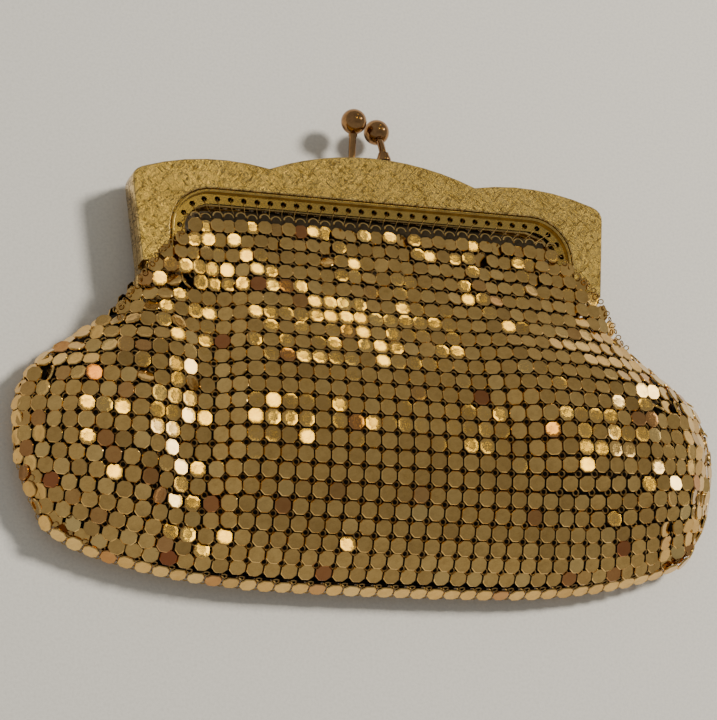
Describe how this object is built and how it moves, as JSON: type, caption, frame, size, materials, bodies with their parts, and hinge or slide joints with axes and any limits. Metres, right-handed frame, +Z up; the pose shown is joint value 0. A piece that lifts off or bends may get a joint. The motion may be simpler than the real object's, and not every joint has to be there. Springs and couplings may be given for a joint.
{
  "type": "evening bag",
  "caption": "Metal-mesh evening bag lying on its back: scalloped hinged frame closed by a ball clasp over a rounded pouch of small linked plates with a lining.",
  "frame": {"origin": "middle of the bag's footprint, on the surface that it lies on", "axes": "+X across the bag along the hinge line, +Y from the pouch towards the ball clasp, +Z up out of the front of the bag"},
  "size_m": [0.1336, 0.0912, 0.0199],
  "materials": {
    "frame_gold": "fine cross-hatched brush marks under gold plate",
    "bow_gold": "bright gold plate",
    "wire_gold": "bright gold plate",
    "clasp_gold": "polished, slightly coppery gold plate",
    "mesh_gold": "polished gold plate, worn",
    "lining": "dark satin"
  },
  "bodies": {
    "pouch": {"back_frame_plate": "frame_gold", "back_stitching_bow": "bow_gold", "back_retaining_wire": "wire_gold", "hinge_rivet_right": "wire_gold", "hinge_rivet_left": "wire_gold", "back_finial_collar": "clasp_gold", "back_finial_stem": "clasp_gold", "back_finial_ball": "clasp_gold", "mesh_front_panel": "mesh_gold", "mesh_back_panel": "mesh_gold", "mesh_front_bend": "mesh_gold", "seam_links_left": "mesh_gold", "seam_links_right": "mesh_gold", "seam_links_bottom": "mesh_gold", "lining_front_panel": "lining", "lining_back_panel": "lining", "lining_front_bend": "lining"},
    "front_frame": {"front_frame_plate": "frame_gold", "front_stitching_bow": "bow_gold", "front_retaining_wire": "wire_gold", "front_finial_collar": "clasp_gold", "front_finial_stem": "clasp_gold", "front_finial_ball": "clasp_gold", "mesh_front_upper": "mesh_gold", "lining_front_upper": "lining"}
  },
  "joints": [
    {"name": "frame_open", "type": "hinge", "parent": "pouch", "child": "front_frame", "pos_m": [0, 0.0084, 0.00625], "axis": [1, 0, 0], "range_deg": [0, 95], "deforming": ["mesh_front_bend", "lining_front_bend"]}
  ]
}
